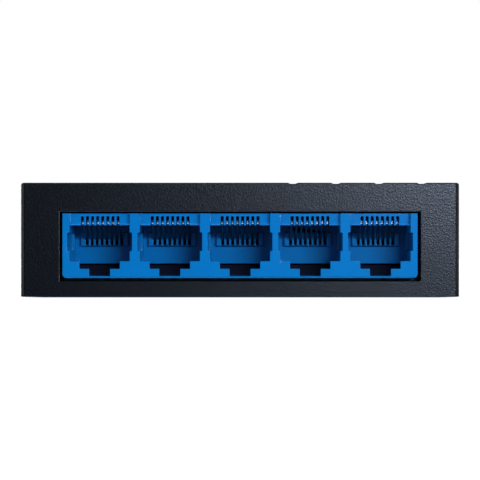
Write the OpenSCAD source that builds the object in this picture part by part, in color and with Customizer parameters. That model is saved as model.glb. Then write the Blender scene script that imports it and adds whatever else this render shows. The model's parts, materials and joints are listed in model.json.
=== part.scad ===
// Five-port desktop network switch.
// X runs along the row of ports, Y from the ports face (front, -Y) to the inlet face (back, +Y),
// Z is up. The origin is under the middle of the switch, on the surface that its feet stand on.

/* [Casing] */
// Outside width of the casing
case_w = 87.3; // [86.5:0.1:95]
// Outside depth of the casing, front to back
case_d = 50; // [50:0.5:60]
// Outside height of the casing without its feet
case_h = 22.8; // [22:0.1:26]
// Thickness of the side walls
side_wall = 1.8; // [1.5:0.1:2]
// Thickness of the front and back walls
end_wall = 2; // [1.8:0.1:2.2]
// Thickness of the top
top_wall = 2; // [1.6:0.1:2.4]
// Chamfer along the four upright edges
upright_chamfer = 0.76; // [0.4:0.02:1]
// Chamfer along the two upper side edges
upper_chamfer = 0.3; // [0.1:0.05:0.6]
// How far the bottom edge rises at each end of the front
end_rise = 0.12; // [0:0.02:0.4]
// Length of that rise
end_rise_run = 4.5; // [3:0.5:6]

/* [Top grooves] */
// Number of shallow grooves in the right half of the top
groove_count = 4; // [0:1:4]
// Distance of the first groove from the middle
groove_first_x = 10.5; // [6:0.1:12]
// Distance between grooves
groove_pitch = 8.54; // [6:0.01:9]
// Width of a groove at the surface
groove_w = 1.75; // [1.4:0.05:2.5]
// Width of a groove at its floor
groove_floor_w = 1.2; // [0.8:0.05:1.4]
// Depth of a groove, whose sides slope
groove_depth = 0.22; // [0.1:0.01:0.5]

/* [Vents] */
// Number of slots in each side wall
side_vents = 9; // [3:1:10]
// Number of slots in the bottom
bottom_vents = 9; // [3:1:11]
// Width of a vent slot
vent_w = 1.4; // [1:0.1:1.8]
// Distance between vent slots
vent_pitch = 3.4; // [3:0.1:3.6]

/* [Port housing] */
// Width of the five-port housing
gang_w = 70.7; // [70:0.1:71.2]
// Depth of the housing, front to back
gang_d = 16.3; // [16:0.1:18]
// Height of the housing above the board
gang_h = 12.96; // [12.9:0.02:13.4]
// How far the housing's front lies behind the casing's front
gang_recess = 0.3; // [0:0.05:0.8]
// Distance between ports
port_pitch = 13.97; // [13.9:0.01:14]
// Width of the plug opening
plug_w = 11.94; // [11.7:0.02:12]
// Gap around the housing, at the left and right of the panel opening
panel_gap_x = 0.48; // [0.3:0.02:0.8]
// Gap under the housing in the panel opening
panel_gap_below = 0.5; // [0.3:0.05:0.6]
// Gap over the housing in the panel opening
panel_gap_above = 0.28; // [0.1:0.02:0.6]

/* [Contacts] */
// Distance between neighbouring contacts
contact_pitch = 1.02; // [1:0.01:1.04]
// Width of a contact wire
wire_w = 0.34; // [0.3:0.02:0.42]
// Thickness of a contact wire
wire_t = 0.3; // [0.25:0.01:0.32]
// Angle at which the spring arms slope down towards the back
arm_angle = 21.5; // [20:0.5:26]
// Reach of a spring arm from the centre of its front bend
arm_length = 9; // [8.5:0.05:9.1]

/* [Circuit board] */
// Width of the board
board_w = 80.4; // [79:0.1:80.6]
// Thickness of the board
board_t = 1.2; // [1:0.1:1.2]
// Height of the board's upper face above the casing's bottom edge
board_top_h = 3.78; // [3.7:0.02:4]

/* [Power inlet] */
// Distance of the inlet from the middle, to the left
inlet_offset = 28; // [25:0.5:29]
// Height of the inlet's axis above the board
inlet_axis_h = 6.2; // [6:0.1:6.6]
// Diameter of the hole for the plug's barrel
inlet_bore_d = 6.4; // [6.2:0.1:6.6]
// Diameter of the centre pin
inlet_pin_d = 2.1; // [1.9:0.1:2.5]

/* [Indicators] */
// Number of indicator windows in the back
led_count = 6; // [2:1:6]
// Distance between windows
led_pitch = 4.8; // [4:0.1:4.8]
// Distance of the first window from the middle
led_first_x = 8; // [6:0.5:9]
// Height of the windows above the casing's bottom edge
led_axis_h = 9.6; // [9:0.1:12]

/* [Feet and fixings] */
// How far the feet stand below the casing
foot_proud = 0.3; // [0.3:0.05:1]
// Diameter of a foot
foot_d = 7.5; // [6:0.5:8]
// Thickness of a foot
foot_t = 0.9; // [0.9:0.05:1]
// Outside diameter of the case screws' thread
screw_d = 2.4; // [2:0.1:2.6]
// Length of the case screws under the head
screw_length = 9; // [7:0.5:10]

/* [Hidden] */
port_count = 5;
contact_count = 8;
eps = 0.01;
$fn = 48;

// Heights: everything on the casing is measured from the casing's bottom edge.
case_z = foot_proud;
board_z = case_z + board_top_h;
front_y = -case_d / 2;
back_y = case_d / 2;
inner_x = case_w / 2 - side_wall;
inner_front_y = front_y + end_wall;
inner_back_y = back_y - end_wall;
ceiling_z = case_z + case_h - top_wall;

// The bottom cover fits between the walls.
cover_gap = 0.2;
cover_z = case_z + 0.1;
floor_t = 1.4;
floor_z = cover_z + floor_t;
lip_t = 0.95;
lip_h = 2.6;
tongue_x = 20;
tongue_w = 8;
foot_recess_d = foot_d + 0.4;
foot_recess_h = foot_t - foot_proud - 0.1;
foot_pad_rise = 0.1;
foot_places = [[-33, -11], [33, -11], [-27, 16.5], [27, 16.5]];
label_size = [34, 15];
label_y = -10;
label_t = 0.12;
vent_length = 13;

// Fixings: two long screws close the casing, two short ones hold the board.
case_screw_places = [[-37.4, 18.6], [37.4, 18.6]];
board_screw_places = [[-37.2, 1.5], [37.2, 1.5]];
board_rest_places = [[-26, -17], [26, -17]];
screw_head_d = 4.4;
screw_head_h = 1.5;
screw_seat_z = cover_z + 2.2;
boss_d = 5;
lower_boss_d = 6.7;
lower_boss_top = case_z + 3.9;
thread_pitch = 1;
board_screw_d = 2.2;
board_screw_length = 1.6;

// Board outline.
board_bottom_z = board_z - board_t;
board_front_y = front_y + 5;
board_back_y = inner_back_y - cover_gap - lip_t - 0.25;
notch = 8.8;

// Port housing, measured from its own front and from the board.
gang_y = front_y + gang_recess;
keyway_w = 4.15;
keyway_z = 0.46;
shoulder_w = 8;
shoulder_z = 1.91;
cavity_z = 3.44;
cavity_top = 10.53;
cavity_depth = 11.8;
relief_w = 12.86;
relief_z = 5.48;
relief_top = 9.14;
relief_depth = 9;
window_depth = 1.2;
back_wall_z = 2.75;
latch_plate = 1;
latch_room_w = 10.6;
back_wall_end = 13.2;
slot_w = 0.56;
slot_top = 12.4;
nose_w = 9.7;
nose_front = 10.8;
nose_z = 6.4;
nose_top = 9.2;
nose_slot_z = 6.6;
nose_slot_top = 7.7;
tooth_t = 0.45;
comb_room_w = 8.4;
lip_chamfer = 0.3;
edge_chamfer = 0.25;
pocket_w = 11.2;
peg_d = 3;
peg_x = [-33.4, 33.4];
peg_depth = 8.5;
gang_corner = 0.9;

// Contact wires: fixed leads run forward over the carrier's tongue, and each
// spring arm starts at the front bend.
bend_depth = 3;
bend_z = 11.2;
bend_inner_r = 0.14;
bend_outer_r = bend_inner_r + wire_t;
lead_top = bend_z + bend_outer_r;
lead_back = 16.18;
front_tail_depth = 13.49;
jog_z = 0.05;
tail_length = board_t + 0.8;
carrier_w = 11;
carrier_depth = 13.3;
carrier_back = 16.2;
carrier_z = 0.42;
carrier_top = 12.33;
tongue_front = 5.8;
carrier_tongue_w = 8.8;
wire_gap = 0.04;

// Transformer modules, one behind each port.
magnetics_size = [12, 6.8, 5.7];
magnetics_y = -3.2;
passives_y = 2.3;
magnetics_lead_pitch = 1.27;
standoff = 0.15;

// Switch chip.
chip_at = [-1, 11.2];
chip_size = [14, 14, 1.4];
chip_lead_count = 32;
chip_lead_pitch = 0.4;

// Smaller parts on the board.
memory_at = [28, 12];
regulator_at = [-37.4, 8.9];
diode_at = [-24, 6.4];
crystal_at = [18.5, 8.2];
crystal_size = [11.4, 4.7, 3.4];
inductor_at = [-32.6, 7.2];
inductor_size = [5.2, 5.2, 3.6];
capacitor_places = [[-17.5, 7.2], [-17.5, 14.8]];
capacitor_d = 6.3;
capacitor_h = 7.2;
resistor_size = [1.6, 0.8, 0.45];

// Power inlet, along Y.
inlet_x = -inlet_offset;
inlet_z = board_z + inlet_axis_h;
inlet_body = [9, 11.4, 10.8];
inlet_front = inner_back_y - 0.05;
inlet_mouth = back_y - 0.2;
inlet_collar_d = 8.2;
inlet_bore_back = inlet_mouth - 10;
inlet_pin_shank_d = inlet_pin_d + 0.4;
leaf_w = 2.4;
leaf_t = 0.3;
leaf_rise = 1.05;
leaf_length = 7.1;
leaf_root = [inlet_bore_back + 0.1, -3.5];

// Light pipe and indicators.
led_z = case_z + led_axis_h;
led_window = [2.6, 1.2];
led_y = 18.6;
pipe_gap = 0.05;
pipe_rail_y = led_y + 1;
pipe_peg_x = [led_first_x - led_pitch / 2, led_first_x + (led_count - 1.5) * led_pitch];
led_size = [1.6, 0.8, 0.7];

function port_x(n) = (n - (port_count + 1) / 2) * port_pitch;
function contact_x(i) = (i - (contact_count - 1) / 2) * contact_pitch;
function led_x(i) = led_first_x + i * led_pitch;

// Points on an arc about a centre, from one angle to another.
function arc(centre, r, from, to, steps = 6) =
    [for (i = [0 : steps]) let (a = from + (to - from) * i / steps) centre + r * [cos(a), sin(a)]];

// ---------------------------------------------------------------- helpers

// A box centred on X and Y that stands on z.
module block(size, at = [0, 0, 0]) {
    translate([at[0] - size[0] / 2, at[1] - size[1] / 2, at[2]]) cube(size);
}

// A box given by its lowest and highest corners.
module span(low, high) {
    translate(low) cube(high - low);
}

// Extrudes a profile drawn in the YZ plane by w along X, centred.
module side_profile(w) {
    translate([-w / 2, 0, 0]) rotate([90, 0, 90]) linear_extrude(w) children();
}

// A cylinder along Y from y0 to y1.
module y_cylinder(d, y0, y1) {
    translate([0, y0, 0]) rotate([-90, 0, 0]) cylinder(d = d, h = y1 - y0);
}

// A rectangle with its corners cut at 45 degrees, extruded upwards.
module chamfered_block(size, c) {
    x = size[0] / 2;
    y = size[1] / 2;
    linear_extrude(size[2]) polygon([
        [-x + c, -y], [x - c, -y], [x, -y + c], [x, y - c],
        [x - c, y], [-x + c, y], [-x, y - c], [-x, -y + c]
    ]);
}

// One port's own corner: middle of the port, housing front, board level.
module at_port(n) {
    translate([port_x(n), gang_y, board_z]) children();
}

// A row of gull-wing leads on the +Y side of a chip of half depth reach_in.
module gull_row(count, pitch, w, reach_in, reach_out, top, t) {
    knee = reach_in + (reach_out - reach_in) * 0.4;
    for (i = [0 : count - 1])
        translate([(i - (count - 1) / 2) * pitch, 0, 0])
            side_profile(w) polygon([
                [reach_in + eps, top], [knee, top], [knee + t, t], [reach_out, t],
                [reach_out, 0], [knee, 0], [knee - t, top - t], [reach_in + eps, top - t]
            ]);
}

// A pan-head self-tapping screw that points up, its head's seat at z = 0.
module screw(d, length, head_d, head_h) {
    core = d * 0.39;
    turns = floor(length / thread_pitch) - 1;
    difference() {
        rotate_extrude() polygon(concat(
            [[0, -head_h], [head_d / 2 - 0.4, -head_h], [head_d / 2, -head_h + 0.5],
             [head_d / 2, 0], [core, 0]],
            [for (i = [0 : turns - 1], corner = [[core, 0.25], [d / 2, 0.5], [core, 0.75]])
                [corner[0], (i + corner[1]) * thread_pitch]],
            [[core, turns * thread_pitch], [0, length]]
        ));
        for (a = [0, 90])
            rotate([0, 0, a])
                block([head_d * 0.55, 0.55, head_h * 0.6 + 1], [0, 0, -head_h - 1]);
    }
}

// ----------------------------------------------------------------- casing

// The casing's outside: its front outline crossed with its chamfered plan.
module casing_block() {
    half = case_w / 2;
    intersection() {
        translate([0, back_y + 1, case_z]) rotate([90, 0, 0])
            linear_extrude(case_d + 2) polygon([
                [-half, end_rise], [-half + end_rise_run, 0], [half - end_rise_run, 0],
                [half, end_rise], [half, case_h - upper_chamfer],
                [half - upper_chamfer, case_h], [-half + upper_chamfer, case_h],
                [-half, case_h - upper_chamfer]
            ]);
        translate([0, 0, case_z - 1])
            chamfered_block([case_w, case_d, case_h + 2], upright_chamfer);
    }
}

module top_grooves() {
    slope = (groove_w - groove_floor_w) / 2;
    above = 0.1;
    for (i = [0 : groove_count - 1])
        translate([groove_first_x + i * groove_pitch, back_y + 1, case_z + case_h])
            rotate([90, 0, 0]) linear_extrude(case_d + 2) polygon([
                [-groove_w / 2, above], [-groove_w / 2, 0], [-groove_floor_w / 2, -groove_depth],
                [groove_floor_w / 2, -groove_depth], [groove_w / 2, 0], [groove_w / 2, above]
            ]);
}

module side_vent_slots() {
    for (side = [-1, 1], i = [0 : side_vents - 1])
        block([2 * side_wall + 2, vent_w, 7],
              [side * case_w / 2, (i - (side_vents - 1) / 2) * vent_pitch, case_z + 11]);
}

module panel_opening() {
    span([-gang_w / 2 - panel_gap_x, front_y - 1, board_z - panel_gap_below],
         [gang_w / 2 + panel_gap_x, inner_front_y + 1, board_z + gang_h + panel_gap_above]);
}

module top_cover() {
    color("#23272e") difference() {
        union() {
            difference() {
                casing_block();
                span([-inner_x, inner_front_y, case_z - 1], [inner_x, inner_back_y, ceiling_z]);
            }
            // Screw bosses, each tied to its side wall by a rib.
            for (p = case_screw_places) {
                translate([p[0], p[1], lower_boss_top + 0.1])
                    cylinder(d = boss_d, h = ceiling_z + 1 - lower_boss_top - 0.1);
                rib_x = sign(p[0]) * (inner_x - 1.2);
                block([4, 1.2, ceiling_z + 1 - case_z - 8], [rib_x, p[1], case_z + 8]);
            }
            // Ribs that hold the port housing down on the board.
            for (n = [1.5, 2.5, 3.5, 4.5])
                span([port_x(n) - 0.6, gang_y + 5, board_z + gang_h + 0.08],
                     [port_x(n) + 0.6, gang_y + 14, ceiling_z + 1]);
        }
        panel_opening();
        side_vent_slots();
        top_grooves();
        for (p = case_screw_places)
            translate([p[0], p[1], case_z + 3]) cylinder(d = screw_d + 0.06, h = 12);
        // Pockets in the front wall for the bottom cover's tongues.
        for (side = [-1, 1])
            block([tongue_w + 0.4, 2, 1.1], [side * tongue_x, inner_front_y - 0.1, cover_z + 0.4]);
        translate([inlet_x, 0, inlet_z])
            y_cylinder(inlet_collar_d + 0.3, inner_back_y - 1, back_y + 1);
        for (i = [0 : led_count - 1])
            block([led_window[0], 2 * end_wall + 2, led_window[1]],
                  [led_x(i), back_y, led_z - led_window[1] / 2]);
    }
}

module bottom_vent_slots() {
    for (i = [0 : bottom_vents - 1])
        block([vent_w, vent_length, 3],
              [(i - (bottom_vents - 1) / 2) * vent_pitch * 1.2, 10.5, cover_z - 1]);
}

module bottom_cover() {
    half_x = inner_x - cover_gap;
    back = inner_back_y - cover_gap;
    front = inner_front_y + cover_gap;
    color("#1d2026") difference() {
        union() {
            span([-half_x, front, cover_z], [half_x, back, floor_z]);
            // Lip inside the side and back walls.
            for (side = [-1, 1])
                span([side > 0 ? half_x - lip_t : -half_x, front + 4, cover_z],
                     [side > 0 ? half_x : -half_x + lip_t, back, cover_z + lip_h]);
            span([-half_x, back - lip_t, cover_z], [half_x, back, cover_z + lip_h]);
            // Tongues that hook into the front wall.
            for (side = [-1, 1])
                block([tongue_w, 1.7, 0.9], [side * tongue_x, front, cover_z + 0.5]);
            for (p = case_screw_places)
                translate([p[0], p[1], cover_z])
                    cylinder(d = lower_boss_d, h = lower_boss_top - cover_z);
            for (p = concat(board_screw_places, board_rest_places))
                translate([p[0], p[1], cover_z])
                    cylinder(d = boss_d, h = board_bottom_z - cover_z);
            // Thicker pads over the foot recesses.
            for (p = foot_places)
                translate([p[0], p[1], cover_z])
                    cylinder(d = foot_recess_d + 1.6, h = floor_t + foot_pad_rise);
        }
        for (p = foot_places)
            translate([p[0], p[1], cover_z - 1])
                cylinder(d = foot_recess_d, h = 1 + foot_recess_h);
        for (p = case_screw_places) translate([p[0], p[1], cover_z - 1]) {
            cylinder(d = screw_head_d + 0.5, h = screw_seat_z - cover_z + 1);
            cylinder(d = screw_d + 0.4, h = 10);
        }
        for (p = board_screw_places)
            translate([p[0], p[1], cover_z + 0.7]) cylinder(d = board_screw_d + 0.06, h = 5);
        block([label_size[0] + 0.6, label_size[1] + 0.6, 1], [0, label_y, cover_z + 0.2 - 1]);
        bottom_vent_slots();
    }
}

module rating_label() {
    color("#c9ccd0") translate([0, label_y, cover_z + 0.2 - label_t - 0.01])
        chamfered_block([label_size[0], label_size[1], label_t], 0.8);
}

module foot(n) {
    p = foot_places[n - 1];
    r = foot_d / 2;
    color("#2b2b2d") translate([p[0], p[1], 0]) rotate_extrude() polygon([
        [0, 0], [r - 0.35, 0], [r - 0.1, 0.1], [r, 0.3], [r, foot_t - 0.02], [0, foot_t - 0.02]
    ]);
}

module case_screws() {
    color("#8d9096") for (p = case_screw_places)
        translate([p[0], p[1], screw_seat_z])
            screw(screw_d, screw_length, screw_head_d, screw_head_h);
}

module board_screws() {
    color("#8d9096") for (p = board_screw_places)
        translate([p[0], p[1], board_z]) rotate([180, 0, 0])
            screw(board_screw_d, board_t + board_screw_length, 4, 1.3);
}

// ------------------------------------------------------------ circuit board

// The holes for one port's eight contact tails, in two staggered rows.
module tail_holes() {
    for (i = [0 : contact_count - 1])
        translate([contact_x(i), tail_depth(i), -board_t - 1]) cylinder(d = 0.8, h = board_t + 2);
}

function tail_depth(i) = (i % 2 == 0 ? lead_back : front_tail_depth + wire_t) - wire_t / 2;

module circuit_board() {
    color("#1e6b3c") difference() {
        span([-board_w / 2, board_front_y, board_bottom_z], [board_w / 2, board_back_y, board_z]);
        for (n = [1 : port_count]) at_port(n) tail_holes();
        for (x = peg_x) translate([x, gang_y + peg_depth, board_bottom_z - 1])
            cylinder(d = peg_d + 0.1, h = board_t + 2);
        for (p = case_screw_places)
            block([notch, notch, board_t + 2],
                  [p[0] + sign(p[0]) * 0.9, p[1] + 0.9, board_bottom_z - 1]);
        for (p = board_screw_places) translate([p[0], p[1], board_bottom_z - 1])
            cylinder(d = board_screw_d + 0.5, h = board_t + 2);
        // Slots for the inlet's three terminals.
        for (slot = inlet_terminals) block([slot[1][0] + 0.3, slot[1][1] + 0.3, board_t + 2],
            [inlet_x + slot[0][0], slot[0][1], board_bottom_z - 1]);
        for (x = pipe_peg_x) translate([x, pipe_rail_y + 0.6, board_bottom_z - 1])
            cylinder(d = 1.3, h = board_t + 2);
    }
}

// ------------------------------------------------------------ port housing

// Everything that a plug and the contacts need free, for one port.
module port_hollow() {
    // Latch keyway and shoulders through the front plate.
    span([-keyway_w / 2, -1, keyway_z], [keyway_w / 2, latch_plate + eps, shoulder_z + eps]);
    span([-shoulder_w / 2, -1, shoulder_z], [shoulder_w / 2, latch_plate + eps, cavity_z + eps]);
    // Room for the latch behind that plate, which runs on under the back wall.
    span([-latch_room_w / 2, latch_plate, keyway_z],
         [latch_room_w / 2, cavity_depth, cavity_z + eps]);
    span([-latch_room_w / 2, cavity_depth - eps, keyway_z],
         [latch_room_w / 2, back_wall_end + 1, back_wall_z]);
    span([-plug_w / 2, -1, cavity_z], [plug_w / 2, cavity_depth, cavity_top]);
    span([-relief_w / 2, -1, relief_z], [relief_w / 2, relief_depth, relief_top]);
    // Window over the contact bends, open at the top, with a chamfer along its lower lip.
    span([-plug_w / 2, -1, cavity_top - eps], [plug_w / 2, window_depth, gang_h + 1]);
    side_profile(plug_w) polygon([
        [window_depth - eps, cavity_top - eps], [window_depth + lip_chamfer, cavity_top - eps],
        [window_depth + lip_chamfer, cavity_top], [window_depth, cavity_top + lip_chamfer],
        [window_depth - eps, cavity_top + lip_chamfer]
    ]);
    for (i = [0 : contact_count - 1])
        span([contact_x(i) - slot_w / 2, window_depth - eps, cavity_top - eps],
             [contact_x(i) + slot_w / 2, back_wall_end + 1, slot_top]);
    // Opening behind the comb, through the back wall.
    span([-comb_room_w / 2, cavity_depth - eps, nose_slot_z],
         [comb_room_w / 2, back_wall_end + 1, nose_slot_top]);
    // Pocket for the carrier's tongue, and the open space for the carrier itself.
    span([-carrier_tongue_w / 2 - 0.1, tongue_front - 0.1, cavity_top - eps],
         [carrier_tongue_w / 2 + 0.1, back_wall_end + 1, bend_z + bend_inner_r + 0.02]);
    span([-pocket_w / 2, back_wall_end, -1], [pocket_w / 2, gang_d + 1, slot_top]);
}

// Comb at the back of the cavity, which keeps the spring arms apart.
module comb_nose() {
    difference() {
        span([-nose_w / 2, nose_front, nose_z], [nose_w / 2, cavity_depth + 0.5, nose_top]);
        for (i = [0 : contact_count - 1])
            span([contact_x(i) - slot_w / 2, nose_front - 1, nose_slot_z],
                 [contact_x(i) + slot_w / 2, cavity_depth, nose_top + 1]);
        // Behind the lower part of the teeth it is open from side to side.
        span([-comb_room_w / 2, nose_front + tooth_t, nose_slot_z],
             [comb_room_w / 2, cavity_depth + 1, nose_slot_top]);
    }
}

module port_housing() {
    c = gang_corner;
    half = gang_w / 2;
    color("#0377c3") union() {
        difference() {
            union() {
                translate([0, gang_y + gang_d, board_z]) rotate([90, 0, 0])
                    linear_extrude(gang_d) polygon(concat(
                        [[half, gang_h], [-half, gang_h]],
                        arc([-half + c, c], c, 180, 270),
                        arc([half - c, c], c, 270, 360)
                    ));
                for (x = peg_x) translate([x, gang_y + peg_depth, board_z - board_t - 0.5])
                    cylinder(d = peg_d, h = board_t + 1);
            }
            for (n = [1 : port_count]) at_port(n) port_hollow();
            // Chamfer along the front edge of the underside.
            translate([0, gang_y, board_z]) side_profile(gang_w + 1) polygon([
                [-1, -1], [edge_chamfer + 1, -1], [-1, edge_chamfer + 1]
            ]);
        }
        for (n = [1 : port_count]) at_port(n) comb_nose();
    }
}

module contact_carrier(n) {
    gap = wire_gap;
    color("#0f69ab") at_port(n) difference() {
        union() {
            span([-carrier_w / 2, carrier_depth, carrier_z], [carrier_w / 2, carrier_back, carrier_top]);
            span([-carrier_tongue_w / 2, tongue_front, cavity_top + 0.02],
                 [carrier_tongue_w / 2, carrier_depth + 1, lead_top - wire_t - gap / 2]);
        }
        for (i = [0 : contact_count - 1]) {
            low_x = contact_x(i) - wire_w / 2 - gap;
            high_x = contact_x(i) + wire_w / 2 + gap;
            span([low_x, lead_back - wire_t - gap, carrier_z - 1],
                 [high_x, carrier_back + 1, lead_top + gap]);
            span([low_x, carrier_depth - 1, lead_top - wire_t - gap / 2],
                 [high_x, carrier_back + 1, lead_top + gap]);
        }
    }
}

// Fixed wires: forward run over the tongue, down the carrier's back, and a
// tail through the board. Every other tail steps forward to the front row.
module contact_leads(n) {
    back = lead_back;
    inner = lead_back - wire_t;
    front_tail = front_tail_depth;
    color("#d8b25a") at_port(n) for (i = [0 : contact_count - 1])
        translate([contact_x(i), 0, 0]) side_profile(wire_w) polygon(concat(
            [[bend_depth + 0.02, lead_top], [back, lead_top]],
            i % 2 == 0
                ? [[back, -tail_length], [inner, -tail_length]]
                : [[back, jog_z], [front_tail + wire_t, jog_z],
                   [front_tail + wire_t, -tail_length], [front_tail, -tail_length],
                   [front_tail, jog_z + wire_t], [inner, jog_z + wire_t]],
            [[inner, lead_top - wire_t], [bend_depth + 0.02, lead_top - wire_t]]
        ));
}

// Spring arms: the front bend and the sloping arm whose tip rides in the comb.
module contact_springs(n) {
    along = [cos(arm_angle), -sin(arm_angle)];
    // Where the bend meets the arm, as a direction from the bend's centre.
    radial = [-sin(arm_angle), -cos(arm_angle)];
    color("#e0bd66") at_port(n) translate([0, bend_depth, bend_z])
        for (i = [0 : contact_count - 1])
            translate([contact_x(i), 0, 0]) side_profile(wire_w) {
                difference() {
                    circle(r = bend_outer_r);
                    circle(r = bend_inner_r);
                    polygon([[0, 0], [0, 1], [1, 1], [1, -1], radial]);
                }
                polygon([
                    radial * bend_inner_r, radial * bend_outer_r,
                    radial * bend_outer_r + along * arm_length,
                    radial * bend_inner_r + along * arm_length
                ]);
            }
}

// --------------------------------------------------------------- components

module magnetics(n) {
    color("#26282b") translate([port_x(n), magnetics_y, board_z + standoff]) difference() {
        chamfered_block(magnetics_size, 0.4);
        // Dimple that marks pin 1.
        translate([-4.6, -2, magnetics_size[2] - 0.2]) cylinder(d = 1.2, h = 1);
    }
}

module magnetics_leads() {
    color("#c8ccd2") for (n = [1 : port_count], turn = [0, 180])
        translate([port_x(n), magnetics_y, board_z]) rotate([0, 0, turn])
            gull_row(8, magnetics_lead_pitch, 0.45, magnetics_size[1] / 2, 4.7, 1.6, 0.25);
}

module switch_chip() {
    color("#202226") translate([chip_at[0], chip_at[1], board_z + 0.1]) difference() {
        chamfered_block(chip_size, 0.5);
        translate([-5.4, -5.4, chip_size[2] - 0.12]) cylinder(d = 1.6, h = 1);
    }
}

module switch_chip_leads() {
    color("#c8ccd2") for (turn = [0, 90, 180, 270])
        translate([chip_at[0], chip_at[1], board_z]) rotate([0, 0, turn])
            gull_row(chip_lead_count, chip_lead_pitch, 0.18, chip_size[1] / 2, 8, 0.85, 0.13);
}

module crystal() {
    color("#c2c5c9") translate([crystal_at[0], crystal_at[1], board_z + 0.02]) {
        chamfered_block([crystal_size[0], crystal_size[1], 0.5], 0.6);
        translate([0, 0, 0.4])
            chamfered_block([crystal_size[0] - 0.8, crystal_size[1] - 0.8, crystal_size[2] - 0.4], 1.4);
    }
}

module memory_chip() {
    color("#202226") translate([memory_at[0], memory_at[1], board_z + 0.15])
        chamfered_block([4.9, 3.9, 1.5], 0.15);
}

module regulator_chip() {
    color("#202226") translate([regulator_at[0], regulator_at[1], board_z + 0.1])
        chamfered_block([2.9, 1.6, 1.1], 0.1);
}

module rectifier_diode() {
    color("#202226") translate([diode_at[0], diode_at[1], board_z + 0.1])
        chamfered_block([2.6, 4.3, 2.1], 0.2);
}

// Leads of the memory, the regulator and the diode.
module small_chip_leads() {
    color("#c8ccd2") for (turn = [0, 180]) {
        translate([memory_at[0], memory_at[1], board_z]) rotate([0, 0, turn])
            gull_row(4, 1.27, 0.42, 1.95, 3, 0.9, 0.2);
        translate([regulator_at[0], regulator_at[1], board_z]) rotate([0, 0, turn])
            gull_row(3, 0.95, 0.35, 0.8, 1.4, 0.6, 0.15);
        translate([diode_at[0], diode_at[1], board_z]) rotate([0, 0, turn])
            gull_row(1, 1, 1.5, 2.15, 2.7, 1.1, 0.2);
    }
}

module power_inductor() {
    color("#3a3b3e") translate([inductor_at[0], inductor_at[1], board_z + 0.02]) difference() {
        chamfered_block(inductor_size, 0.9);
        translate([0, 0, inductor_size[2] - 0.3]) difference() {
            cylinder(d = 4.4, h = 1);
            translate([0, 0, -1]) cylinder(d = 3.4, h = 3);
        }
    }
}

module capacitor_cans() {
    r = capacitor_d / 2;
    color("#c9ccd1") for (p = capacitor_places)
        translate([p[0], p[1], board_z + 1.1]) rotate_extrude() polygon([
            [0, 0], [r, 0], [r, 0.9], [r - 0.25, 1.15], [r, 1.4],
            [r, capacitor_h - 0.3], [r - 0.3, capacitor_h], [0, capacitor_h]
        ]);
}

module capacitor_bases() {
    color("#17181a") for (p = capacitor_places)
        translate([p[0], p[1], board_z + 0.02]) chamfered_block([6.6, 6.6, 1.05], 1);
}

// Terminating resistors behind each transformer module, and one in front of each indicator.
module chip_resistors() {
    color("#2a2a2c") {
        for (n = [1 : port_count], i = [0 : 1])
            block(resistor_size, [port_x(n) - 3.4 - i * 2.1, passives_y, board_z + 0.01]);
        for (i = [0 : led_count - 1])
            block([resistor_size[1], resistor_size[0], resistor_size[2]],
                  [led_x(i), led_y - 2.2, board_z + 0.01]);
    }
}

// Ceramic capacitors beside the transformer modules and around the chip.
module chip_capacitors() {
    color("#b79a6c") {
        for (n = [1 : port_count])
            block([2, 1.25, 0.8], [port_x(n) + 4.6, passives_y, board_z + 0.01]);
        for (side = [-1, 1], i = [0 : 3])
            block([0.8, 1.6, 0.6],
                  [chip_at[0] + side * 9.4, chip_at[1] - 5 + i * 2.6, board_z + 0.01]);
    }
}

// -------------------------------------------------------------- power inlet

// Terminals: [[x from the inlet's axis, y], [width, thickness], top height from the axis].
inlet_terminals = [
    [[0, inlet_front - inlet_body[1] - 0.17], [2.4, 0.3], 1.8],
    [[0, leaf_root[0] - 0.17], [2.4, 0.3], -3.4],
    [[4.75, 17.6], [0.3, 2.4], -1.5]
];

module dc_jack_housing() {
    back = inlet_front - inlet_body[1];
    color("#1a1b1d") translate([inlet_x, 0, inlet_z]) difference() {
        union() {
            span([-inlet_body[0] / 2, back, -inlet_axis_h + 0.02],
                 [inlet_body[0] / 2, inlet_front, -inlet_axis_h + inlet_body[2]]);
            y_cylinder(inlet_collar_d, inlet_front - 1, inlet_mouth);
        }
        y_cylinder(inlet_bore_d, inlet_bore_back, inlet_mouth + 1);
        y_cylinder(inlet_pin_shank_d + 0.04, back - 1, inlet_bore_back + 1);
        // Slot that the leaf moves in, closed in front by the collar.
        span([-leaf_w / 2 - 0.15, inlet_bore_back - eps, -4.8],
             [leaf_w / 2 + 0.15, inlet_front - 0.6, 0]);
        // Slot for the leaf's terminal, down to the board.
        span([-leaf_w / 2 - 0.15, leaf_root[0] - 0.5, -inlet_axis_h - 1],
             [leaf_w / 2 + 0.15, leaf_root[0] + 0.05, -3.3]);
    }
}

module dc_jack_pin() {
    r = inlet_pin_d / 2;
    back = inlet_front - inlet_body[1];
    shank = inlet_bore_back - back;
    length = inlet_mouth - 0.8 - back;
    color("#d9dcdf") translate([inlet_x, back, inlet_z]) rotate([-90, 0, 0])
        rotate_extrude() polygon([
            [0, 0], [inlet_pin_shank_d / 2, 0], [inlet_pin_shank_d / 2, shank], [r, shank],
            [r, length - 0.5], [r - 0.2, length - 0.15], [r - 0.5, length], [0, length]
        ]);
}

// Leaf that presses on the plug's barrel from below, and swings down about its rounded root.
module dc_jack_spring() {
    color("#d2d5d8") translate([inlet_x, leaf_root[0], inlet_z + leaf_root[1]])
        side_profile(leaf_w) polygon(concat(
            arc([leaf_t / 2, -leaf_t / 2], leaf_t / 2, 90, 270),
            [
                [0.6, -leaf_t], [4.2, leaf_rise - leaf_t], [5, leaf_rise - leaf_t],
                [leaf_length, 0.1 - leaf_t], [leaf_length, 0.1], [5, leaf_rise], [4.2, leaf_rise],
                [0.6, 0]
            ]
        ));
}

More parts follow.
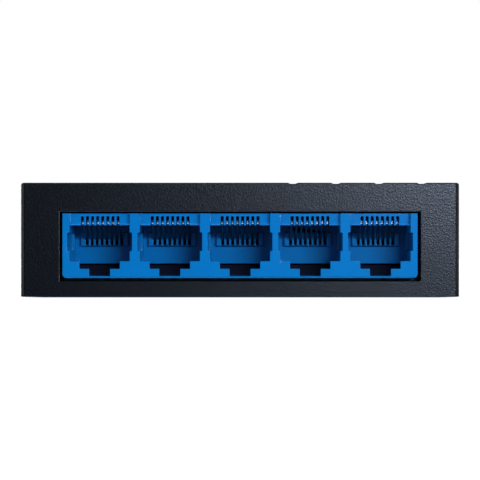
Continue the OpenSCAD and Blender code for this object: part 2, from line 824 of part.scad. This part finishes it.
module dc_jack_terminals() {
    color("#c8ccd2") for (t = inlet_terminals) {
        low_z = board_bottom_z - 0.8 - inlet_z;
        translate([inlet_x, 0, inlet_z])
            block([t[1][0], t[1][1], t[2] - low_z], [t[0][0], t[0][1], low_z]);
    }
}

// --------------------------------------------------------------- indicators

// Right-angle light pipe: a leg over each indicator, a mirror face, and a bar
// that ends flush in its window. A rail joins the six.
module light_pipe() {
    w = led_window[0] - 2 * pipe_gap;
    half_h = led_window[1] / 2 - pipe_gap;
    foot_top = board_z + led_size[2] + 0.2;
    mirror = 0.9;
    color("#dfe6e8") {
        for (i = [0 : led_count - 1]) translate([led_x(i), 0, 0])
            side_profile(w) polygon([
                [led_y - 0.6, foot_top], [led_y + 0.6, foot_top], [led_y + 0.6, led_z - half_h],
                [back_y - 0.1, led_z - half_h], [back_y - 0.1, led_z + half_h],
                [led_y - 0.6 + mirror, led_z + half_h], [led_y - 0.6, led_z + half_h - mirror]
            ]);
        span([pipe_peg_x[0] - 0.8, pipe_rail_y, led_z - 0.4],
             [led_x(led_count - 1), pipe_rail_y + 1.2, led_z + 0.4]);
        for (x = pipe_peg_x) {
            span([x - 0.8, pipe_rail_y, board_z + 0.02], [x + 0.8, pipe_rail_y + 1.2, led_z + 0.4]);
            translate([x, pipe_rail_y + 0.6, board_z - 1]) cylinder(d = 1.1, h = 1.5);
        }
    }
}

module status_leds() {
    color("#e9ece6") for (i = [0 : led_count - 1])
        block(led_size, [led_x(i), led_y, board_z + 0.01]);
}

// --------------------------------------------------------------------- nodes

top_cover();
bottom_cover();
rating_label();
case_screws();
board_screws();
for (n = [1 : len(foot_places)])
    foot(n);
circuit_board();
port_housing();
for (n = [1 : port_count]) {
    contact_carrier(n);
    contact_leads(n);
    contact_springs(n);
    magnetics(n);
}
magnetics_leads();
switch_chip();
switch_chip_leads();
crystal();
memory_chip();
regulator_chip();
rectifier_diode();
small_chip_leads();
power_inductor();
capacitor_cans();
capacitor_bases();
chip_resistors();
chip_capacitors();
dc_jack_housing();
dc_jack_pin();
dc_jack_spring();
dc_jack_terminals();
light_pipe();
status_leds();
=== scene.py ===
"""Looks of the desktop network switch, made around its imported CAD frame."""

import json
import math

import bpy
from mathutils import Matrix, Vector


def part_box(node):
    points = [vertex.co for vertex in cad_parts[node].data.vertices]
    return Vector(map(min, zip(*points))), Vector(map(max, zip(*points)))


MM = 0.001

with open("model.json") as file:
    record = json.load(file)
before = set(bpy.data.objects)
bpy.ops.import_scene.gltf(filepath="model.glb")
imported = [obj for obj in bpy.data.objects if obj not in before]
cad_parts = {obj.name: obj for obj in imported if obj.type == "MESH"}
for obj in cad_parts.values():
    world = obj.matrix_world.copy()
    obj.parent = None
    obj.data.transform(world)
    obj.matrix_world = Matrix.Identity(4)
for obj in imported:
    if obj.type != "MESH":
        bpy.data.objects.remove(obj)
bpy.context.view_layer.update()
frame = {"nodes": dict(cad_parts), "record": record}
NODES = frame["nodes"]
SLOT_OF = {part["node"]: part["material_slot"] for part in frame["record"]["subparts"]}

CASE_LOW, CASE_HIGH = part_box("top_cover")
CASE_MIDDLE = (CASE_LOW + CASE_HIGH) / 2

# The contacts' front bends lie along this line across the ports, and the painted shade on the contact
# arms begins just behind it.
BEND_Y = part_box("port_housing")[0].y + 3.0 * MM


# ------------------------------------------------------------------ materials


class Shader:
    """A material's node tree, with short calls for the nodes that the materials here use."""

    def __init__(self, name, color, roughness=0.5, metallic=0.0):
        self.material = bpy.data.materials.new(name)
        self.material.use_nodes = True
        self.material.diffuse_color = (*color, 1.0)
        self.tree = self.material.node_tree
        self.bsdf = self.tree.nodes["Principled BSDF"]
        self.put("Base Color", (*color, 1.0))
        self.put("Roughness", roughness)
        self.put("Metallic", metallic)
        self.place = self.node("ShaderNodeTexCoord").outputs["Object"]

    def node(self, kind, **settings):
        made = self.tree.nodes.new(kind)
        for key, value in settings.items():
            setattr(made, key, value)
        return made

    def link(self, source, socket):
        self.tree.links.new(source, socket)

    def put(self, socket, value):
        """Sets one of the surface's own sockets, or links a node's output to it."""
        target = self.bsdf.inputs[socket]
        if isinstance(value, bpy.types.NodeSocket):
            self.link(value, target)
        else:
            target.default_value = value

    def stretched(self, scale):
        """The object's coordinates, scaled along each axis."""
        mapping = self.node("ShaderNodeMapping")
        mapping.inputs["Scale"].default_value = scale
        self.link(self.place, mapping.inputs["Vector"])
        return mapping.outputs["Vector"]

    def noise(self, feature, detail=2.0, roughness=0.5, place=None):
        """Noise whose blotches are about feature metres across."""
        made = self.node("ShaderNodeTexNoise")
        made.inputs["Scale"].default_value = 1.0 / feature
        made.inputs["Detail"].default_value = detail
        made.inputs["Roughness"].default_value = roughness
        self.link(place or self.place, made.inputs["Vector"])
        return made.outputs["Fac"]

    def cells(self, feature, kind="F1"):
        made = self.node("ShaderNodeTexVoronoi", feature=kind)
        made.inputs["Scale"].default_value = 1.0 / feature
        self.link(self.place, made.inputs["Vector"])
        return made.outputs["Distance"]

    def spread(self, value, low, high, at=(0.0, 1.0)):
        """Maps value from the range at to the range low to high."""
        made = self.node("ShaderNodeMapRange")
        for socket, number in zip(("From Min", "From Max", "To Min", "To Max"), (*at, low, high)):
            made.inputs[socket].default_value = number
        self.link(value, made.inputs["Value"])
        return made.outputs["Result"]

    def between(self, value, first, second):
        """A colour between first and second, which are colours or outputs."""
        made = self.node("ShaderNodeMix", data_type="RGBA")
        self.link(value, made.inputs["Factor"])
        for socket, color in zip((made.inputs[6], made.inputs[7]), (first, second)):
            if isinstance(color, bpy.types.NodeSocket):
                self.link(color, socket)
            else:
                socket.default_value = (*color, 1.0)
        return made.outputs[2]

    def math(self, operation, first, second):
        made = self.node("ShaderNodeMath", operation=operation)
        for socket, value in zip(made.inputs, (first, second)):
            if isinstance(value, bpy.types.NodeSocket):
                self.link(value, socket)
            else:
                socket.default_value = value
        return made.outputs[0]

    def bump(self, *layers):
        """Layers of (height, strength, distance in metres), each over the last."""
        normal = None
        for height, strength, distance in layers:
            made = self.node("ShaderNodeBump")
            made.inputs["Strength"].default_value = strength
            made.inputs["Distance"].default_value = distance
            self.link(height, made.inputs["Height"])
            if normal:
                self.link(normal, made.inputs["Normal"])
            normal = made.outputs["Normal"]
        self.put("Normal", normal)


def shade(color, factor):
    """The colour made darker or lighter."""
    return tuple(channel * factor for channel in color)


def casing_plastic():
    """Black moulded plastic with a fine spark-eroded grain, coarser on the top."""
    color = (0.0002, 0.0004, 0.0022)
    s = Shader("casing_plastic", color, roughness=0.32)
    s.put("Specular IOR Level", 0.64)
    grain = s.noise(0.32 * MM, detail=3, roughness=0.65)
    pits = s.cells(0.42 * MM)
    clouds = s.noise(6 * MM, detail=4)
    tone = s.between(s.spread(grain, 0, 1, at=(0.3, 0.7)), shade(color, 0.7), shade(color, 1.35))
    s.put("Base Color", s.between(s.spread(clouds, 0, 0.5), tone, shade(color, 0.85)))
    axes = s.node("ShaderNodeSeparateXYZ")
    s.link(s.place, axes.inputs[0])
    coarser = s.spread(axes.outputs["Z"], 0, 0.2, at=(CASE_HIGH.z - 0.3 * MM, CASE_HIGH.z - 0.2 * MM))
    s.put("Roughness", s.math("ADD", s.spread(grain, 0.29, 0.35, at=(0.3, 0.7)), coarser))
    s.bump((pits, 0.5, 0.03 * MM), (grain, 0.75, 0.03 * MM))
    return s.material


def port_plastic():
    """Satin blue plastic with faint flow marks from the mould."""
    color = (0.0002, 0.235, 0.555)
    s = Shader("port_plastic", color, roughness=0.155)
    clouds = s.noise(3 * MM, detail=3)
    grain = s.noise(0.2 * MM, detail=2)
    s.put("Base Color", s.between(clouds, shade(color, 0.93), shade(color, 1.05)))
    s.put("Roughness", s.spread(grain, 0.13, 0.18))
    s.bump((clouds, 0.1, 0.03 * MM), (grain, 0.15, 0.006 * MM))
    return s.material


def carrier_plastic():
    """Dark blue inserts, duller than the housing, coloured far darker than their own blue: painted
    shade for the deep openings behind the ports where they show.
    """
    color = (0.0003, 0.005, 0.02)
    s = Shader("carrier_plastic", color, roughness=0.7)
    s.put("Specular IOR Level", 0.2)
    grain = s.noise(0.3 * MM)
    s.put("Base Color", s.between(grain, shade(color, 0.8), shade(color, 1.2)))
    s.bump((grain, 0.2, 0.01 * MM))
    return s.material


def contact_gold():
    """Spring wire: a bright flash on its front bend only, which is a painted highlight, and dull
    nickel on the rest, darkened as painted shade on the arms.
    """
    gold, arm_nickel_painted_shade = (0.95, 0.93, 0.94), (0.15, 0.17, 0.20)
    s = Shader("contact_gold", gold, roughness=0.42, metallic=1.0)
    worn = s.noise(0.8 * MM, detail=3)
    drawn = s.noise(0.06 * MM, place=s.stretched((1, 0.06, 0.06)))
    axes = s.node("ShaderNodeSeparateXYZ")
    s.link(s.place, axes.inputs[0])
    # From just behind the front bend the wire turns dark, as painted shade on the arms; the bright
    # bend in front is a painted highlight.
    painted_shade_behind_bend = s.spread(axes.outputs["Y"], 0, 1, at=(BEND_Y - 0.05 * MM, BEND_Y + 0.35 * MM))
    bend_flash_painted_highlight = s.between(worn, gold, shade(gold, 0.8))
    s.put("Base Color", s.between(painted_shade_behind_bend, bend_flash_painted_highlight, arm_nickel_painted_shade))
    s.put("Roughness", s.spread(drawn, 0.38, 0.46))
    s.bump((drawn, 0.2, 0.004 * MM))
    return s.material


def tinned_leads():
    """Tinned metal, a little dull, with a fine crystal grain."""
    color = (0.72, 0.73, 0.75)
    s = Shader("tinned_leads", color, roughness=0.32, metallic=1.0)
    crystals = s.cells(0.3 * MM)
    s.put("Base Color", s.between(crystals, shade(color, 0.86), color))
    s.put("Roughness", s.spread(s.noise(0.15 * MM), 0.24, 0.46))
    s.bump((crystals, 0.15, 0.006 * MM))
    return s.material


def board_laminate():
    """Green solder mask over copper traces, which show as lighter raised lines."""
    mask, over_copper, weave = (0.006, 0.085, 0.034), (0.012, 0.16, 0.06), (0.004, 0.06, 0.025)
    s = Shader("board_laminate", mask, roughness=0.28)
    ground = s.noise(9 * MM, detail=1)
    lanes = s.node("ShaderNodeTexWave", wave_type="BANDS", bands_direction="X")
    lanes.inputs["Scale"].default_value = 1.0 / (7.2 * MM)
    lanes.inputs["Distortion"].default_value = 3.0
    lanes.inputs["Detail"].default_value = 0.0
    lanes.inputs["Detail Scale"].default_value = 0.4
    s.link(s.place, lanes.inputs["Vector"])
    poured = s.spread(ground, 0, 1, at=(0.49, 0.51))
    trace = s.spread(lanes.outputs["Fac"], 0, 1, at=(0.55, 0.62))
    copper = s.math("MAXIMUM", poured, trace)
    base = s.between(s.noise(0.5 * MM, detail=0), weave, mask)
    s.put("Base Color", s.between(copper, base, over_copper))
    s.put("Roughness", s.spread(s.noise(1.5 * MM), 0.22, 0.36))
    s.bump((copper, 0.6, 0.03 * MM))
    return s.material


def chip_mould():
    """Black epoxy moulding, sand-blasted look."""
    color = (0.012, 0.0125, 0.014)
    s = Shader("chip_mould", color, roughness=0.58)
    grain = s.noise(0.12 * MM, detail=2)
    s.put("Base Color", s.between(grain, shade(color, 0.8), shade(color, 1.5)))
    s.bump((grain, 0.35, 0.01 * MM))
    return s.material


def black_plastic():
    color = (0.009, 0.0095, 0.011)
    s = Shader("black_plastic", color, roughness=0.38)
    grain = s.noise(0.25 * MM, detail=2)
    s.put("Base Color", s.between(grain, color, shade(color, 1.6)))
    s.put("Roughness", s.spread(grain, 0.34, 0.46))
    s.bump((grain, 0.25, 0.012 * MM))
    return s.material


def can_metal():
    """Drawn metal can with faint scratches around it."""
    color = (0.70, 0.71, 0.72)
    s = Shader("can_metal", color, roughness=0.3, metallic=1.0)
    drawn = s.noise(0.2 * MM, detail=2, place=s.stretched((0.2, 0.2, 2.5)))
    s.put("Base Color", s.between(drawn, shade(color, 0.88), color))
    s.put("Roughness", s.spread(drawn, 0.22, 0.42))
    s.bump((drawn, 0.15, 0.01 * MM))
    return s.material


def ferrite():
    color = (0.028, 0.028, 0.03)
    s = Shader("ferrite", color, roughness=0.6)
    grain = s.noise(0.18 * MM, detail=4, roughness=0.7)
    s.put("Base Color", s.between(grain, shade(color, 0.7), shade(color, 1.8)))
    s.bump((grain, 0.5, 0.02 * MM))
    return s.material


def chip_body(name, color, speckle):
    """The fired body of a chip resistor or capacitor, with a fine speckle."""
    s = Shader(name, color, roughness=0.4)
    grain = s.noise(speckle, detail=2)
    s.put("Base Color", s.between(grain, shade(color, 0.85), shade(color, 1.15)))
    s.put("Roughness", s.spread(grain, 0.32, 0.5))
    s.bump((grain, 0.2, 0.01 * MM))
    return s.material


def ceramic():
    return chip_body("ceramic", (0.36, 0.24, 0.12), 0.2 * MM)


def resistor_film():
    return chip_body("resistor_film", (0.012, 0.012, 0.014), 0.15 * MM)


def screw_steel():
    """Zinc-plated steel with turning marks and a slightly yellow tint."""
    color = (0.52, 0.52, 0.50)
    s = Shader("screw_steel", color, roughness=0.3, metallic=1.0)
    turned = s.noise(0.12 * MM, detail=3)
    s.put("Base Color", s.between(turned, shade(color, 0.8), shade(color, 1.1)))
    s.put("Roughness", s.spread(turned, 0.22, 0.45))
    s.bump((turned, 0.2, 0.008 * MM))
    return s.material


def foot_rubber():
    color = (0.018, 0.018, 0.019)
    s = Shader("foot_rubber", color, roughness=0.8)
    dust = s.noise(1.2 * MM, detail=4, roughness=0.7)
    grain = s.noise(0.15 * MM, detail=2)
    s.put("Base Color", s.between(s.spread(dust, 0, 1, at=(0.45, 0.75)), color, (0.07, 0.068, 0.064)))
    s.put("Roughness", s.spread(grain, 0.7, 0.95))
    s.bump((grain, 0.4, 0.02 * MM))
    return s.material


def label_film():
    """Blank silver-grey polyester film with a brushed look."""
    color = (0.46, 0.47, 0.49)
    s = Shader("label_film", color, roughness=0.36, metallic=0.35)
    brushed = s.noise(0.15 * MM, detail=2, place=s.stretched((0.04, 1, 1)))
    s.put("Base Color", s.between(brushed, shade(color, 0.92), shade(color, 1.06)))
    s.put("Roughness", s.spread(brushed, 0.3, 0.44))
    s.bump((brushed, 0.1, 0.004 * MM))
    return s.material


def light_guide():
    """Frosted polycarbonate, milky and only a little see-through."""
    s = Shader("light_guide", (0.62, 0.65, 0.66), roughness=0.3)
    s.put("Transmission Weight", 0.3)
    s.put("IOR", 1.58)
    haze = s.noise(0.6 * MM, detail=2)
    s.put("Roughness", s.spread(haze, 0.26, 0.36))
    s.bump((haze, 0.1, 0.01 * MM))
    return s.material


def led_body():
    color = (0.78, 0.78, 0.70)
    s = Shader("led_body", color, roughness=0.3)
    milk = s.noise(0.3 * MM, detail=2)
    s.put("Base Color", s.between(milk, shade(color, 0.94), color))
    s.put("Roughness", s.spread(milk, 0.22, 0.38))
    s.bump((milk, 0.1, 0.006 * MM))
    return s.material


MATERIALS = {
    make.__name__: make()
    for make in (
        casing_plastic, port_plastic, carrier_plastic, contact_gold, tinned_leads,
        board_laminate, chip_mould, black_plastic, can_metal, ferrite, ceramic,
        resistor_film, screw_steel, foot_rubber, label_film, light_guide, led_body,
    )
}


# ------------------------------------------------------- edges of the CAD nodes

# Radius of the moulded or formed edges, in millimetres, where it isn't the default.
DEFAULT_EDGE = 0.06
EDGES = {
    "top_cover": 0.16, "bottom_cover": 0.12, "port_housing": 0.12, "circuit_board": 0.05,
    "magnetics_leads": 0.04, "switch_chip_leads": 0.0, "small_chip_leads": 0.03,
    "switch_chip": 0.08, "dc_jack_housing": 0.12, "dc_jack_pin": 0.08,
    "capacitor_cans": 0.1, "rating_label": 0.02, "power_inductor": 0.12, "crystal": 0.15,
    "case_screws": 0.05, "board_screws": 0.05,
}
# Meshes with a few very short edges, which would hold every other edge's radius down.
FREE_EDGES = ("port_housing", "top_cover", "bottom_cover")
# Shells whose flat faces have many slots in them: these faces can't become one polygon each,
# and stay flat-shaded triangles.
SLOTTED = ("top_cover", "bottom_cover")
# Edges that turn by more than this are rounded, and faces that turn by less than FLAT are joined.
CREASE = math.radians(28)
FLAT = math.radians(0.6)


def soften(piece, radius_mm, segments=2):
    """Joins the mesh's coplanar triangles and rounds its sharp edges, without touching the mesh."""
    weld = piece.modifiers.new("weld", "WELD")
    weld.merge_threshold = 0.001 * MM
    if piece.name not in SLOTTED:
        flat = piece.modifiers.new("join_flat_faces", "DECIMATE")
        flat.decimate_type = "DISSOLVE"
        flat.angle_limit = FLAT
    if radius_mm:
        edge = piece.modifiers.new("edge_radius", "BEVEL")
        edge.width = radius_mm * MM
        edge.segments = segments
        edge.limit_method = "ANGLE"
        edge.angle_limit = CREASE
        edge.use_clamp_overlap = piece.name not in FREE_EDGES
        if piece.name in SLOTTED:
            edge.miter_outer = "MITER_SHARP"
            edge.loop_slide = False
        else:
            edge.miter_outer = "MITER_ARC"
    if piece.name in SLOTTED:
        return
    even = piece.modifiers.new("flat_face_shading", "WEIGHTED_NORMAL")
    even.weight = 100
    even.keep_sharp = True
    piece.data.shade_smooth()
    piece.data.set_sharp_from_angle(angle=CREASE)


def dress_cad_nodes():
    for name, piece in NODES.items():
        piece.data.materials.clear()
        piece.data.materials.append(MATERIALS[SLOT_OF[name]])
        wire = name.startswith(("contact_springs", "contact_leads"))
        soften(piece, 0.1 if wire else EDGES.get(name, DEFAULT_EDGE))


dress_cad_nodes()


# ---------------------------------------------------------------------- stage

# The camera's distance from the ports face and its height over the casing's middle.
CAMERA_DISTANCE = 295 * MM
CAMERA_LIFT = 0.01 * MM
# Its focal length and the width of its sensor, in millimetres.
LENS = 111.38
SENSOR_WIDTH = 36
# Half the floor's side, in millimetres, and how brightly the camera sees it.
FLOOR_REACH = 700
FLOOR_GLOW = 0.97
# The light that the surround casts on dull surfaces, and the light that shows in reflections.
AMBIENT = 0.25
REFLECTED = 0.05


def floor():
    """A pale glowing sheet under the object, which neither lights it nor shades it, so that the
    fill light reaches the object from below as if it stood on glass."""
    reach = FLOOR_REACH * MM
    mesh = bpy.data.meshes.new("floor")
    mesh.from_pydata([(-reach, -reach, 0), (reach, -reach, 0), (reach, reach, 0), (-reach, reach, 0)],
                     [], [(0, 1, 2, 3)])
    plane = bpy.data.objects.new("floor", mesh)
    bpy.context.scene.collection.objects.link(plane)
    paper = Shader("floor_paper", (0.12, 0.12, 0.12), roughness=1.0)
    paper.put("Specular IOR Level", 0.0)
    paper.put("Emission Color", (1.0, 1.0, 1.0, 1.0))
    paper.put("Emission Strength", FLOOR_GLOW)
    mesh.materials.append(paper.material)
    plane.visible_diffuse = plane.visible_glossy = False
    plane.visible_transmission = plane.visible_shadow = False


def surround():
    """White to the camera, and a dim even light on everything else, dimmer still in reflections."""
    world = bpy.data.worlds.new("surround")
    bpy.context.scene.world = world
    world.use_nodes = True
    tree = world.node_tree
    tree.nodes.clear()
    seen = tree.nodes.new("ShaderNodeBackground")
    seen.inputs["Color"].default_value = (1, 1, 1, 1)
    felt = tree.nodes.new("ShaderNodeBackground")
    felt.inputs["Color"].default_value = (0.6, 0.8, 1.0, 1)
    path = tree.nodes.new("ShaderNodeLightPath")
    level = tree.nodes.new("ShaderNodeMapRange")
    level.inputs["To Min"].default_value = REFLECTED
    level.inputs["To Max"].default_value = AMBIENT
    tree.links.new(path.outputs["Is Diffuse Ray"], level.inputs["Value"])
    tree.links.new(level.outputs["Result"], felt.inputs["Strength"])
    mix = tree.nodes.new("ShaderNodeMixShader")
    out = tree.nodes.new("ShaderNodeOutputWorld")
    tree.links.new(path.outputs["Is Camera Ray"], mix.inputs["Fac"])
    tree.links.new(felt.outputs[0], mix.inputs[1])
    tree.links.new(seen.outputs[0], mix.inputs[2])
    tree.links.new(mix.outputs[0], out.inputs["Surface"])


def area_light(name, place, turn, size_mm, radiance, color):
    data = bpy.data.lights.new(name, "AREA")
    data.shape = "RECTANGLE"
    data.size, data.size_y = (side * MM for side in size_mm)
    data.energy = 4 * data.size * data.size_y * radiance
    data.color = color
    lamp = bpy.data.objects.new(name, data)
    lamp.location = place
    lamp.rotation_euler = turn
    bpy.context.scene.collection.objects.link(lamp)


def softbox(name, place_mm, size_mm, radiance, color=(1, 1, 1)):
    """An area light that faces the middle of the casing, from a place given from there."""
    place = CASE_MIDDLE + Vector(place_mm) * MM
    turn = (CASE_MIDDLE - place).to_track_quat("-Z", "Y").to_euler()
    area_light(name, place, turn, size_mm, radiance, color)


def lit_floor(y_mm, size_mm, radiance):
    """Light from the floor beside and behind the casing, just under the sheet that the camera sees."""
    upwards = (math.radians(180), 0, 0)
    area_light("lit_floor", (0, y_mm * MM, -1 * MM), upwards, size_mm, radiance, (1, 1, 1))


def camera():
    """Level with the casing's middle, square to the ports face."""
    data = bpy.data.cameras.new("camera")
    data.sensor_width = SENSOR_WIDTH
    data.lens = LENS
    data.clip_start = 0.01
    seat = bpy.data.objects.new("camera", data)
    seat.location = (CASE_MIDDLE.x, CASE_LOW.y - CAMERA_DISTANCE, CASE_MIDDLE.z + CAMERA_LIFT)
    seat.rotation_euler = (math.radians(90), 0, 0)
    bpy.context.scene.collection.objects.link(seat)
    bpy.context.scene.camera = seat


floor()
surround()
softbox("key", (180, -436, 103), (220, 30), 45.5, (0.66, 0.775, 1.0))
softbox("fill", (0, -150, -300), (600, 220), 2.4, (0.35, 0.62, 1.0))
softbox("left", (-500, 0, 40), (360, 360), 0.2)
softbox("right", (500, 0, 40), (360, 360), 0.1)
softbox("back_left", (-250, 430, 120), (420, 420), 4.0)
softbox("back_right", (250, 430, 120), (380, 380), 2.0)
softbox("top", (-60, 120, 560), (420, 420), 1.0)
lit_floor(290, (1200, 600), 0.6)
camera()
bpy.context.scene.view_settings.view_transform = "Standard"
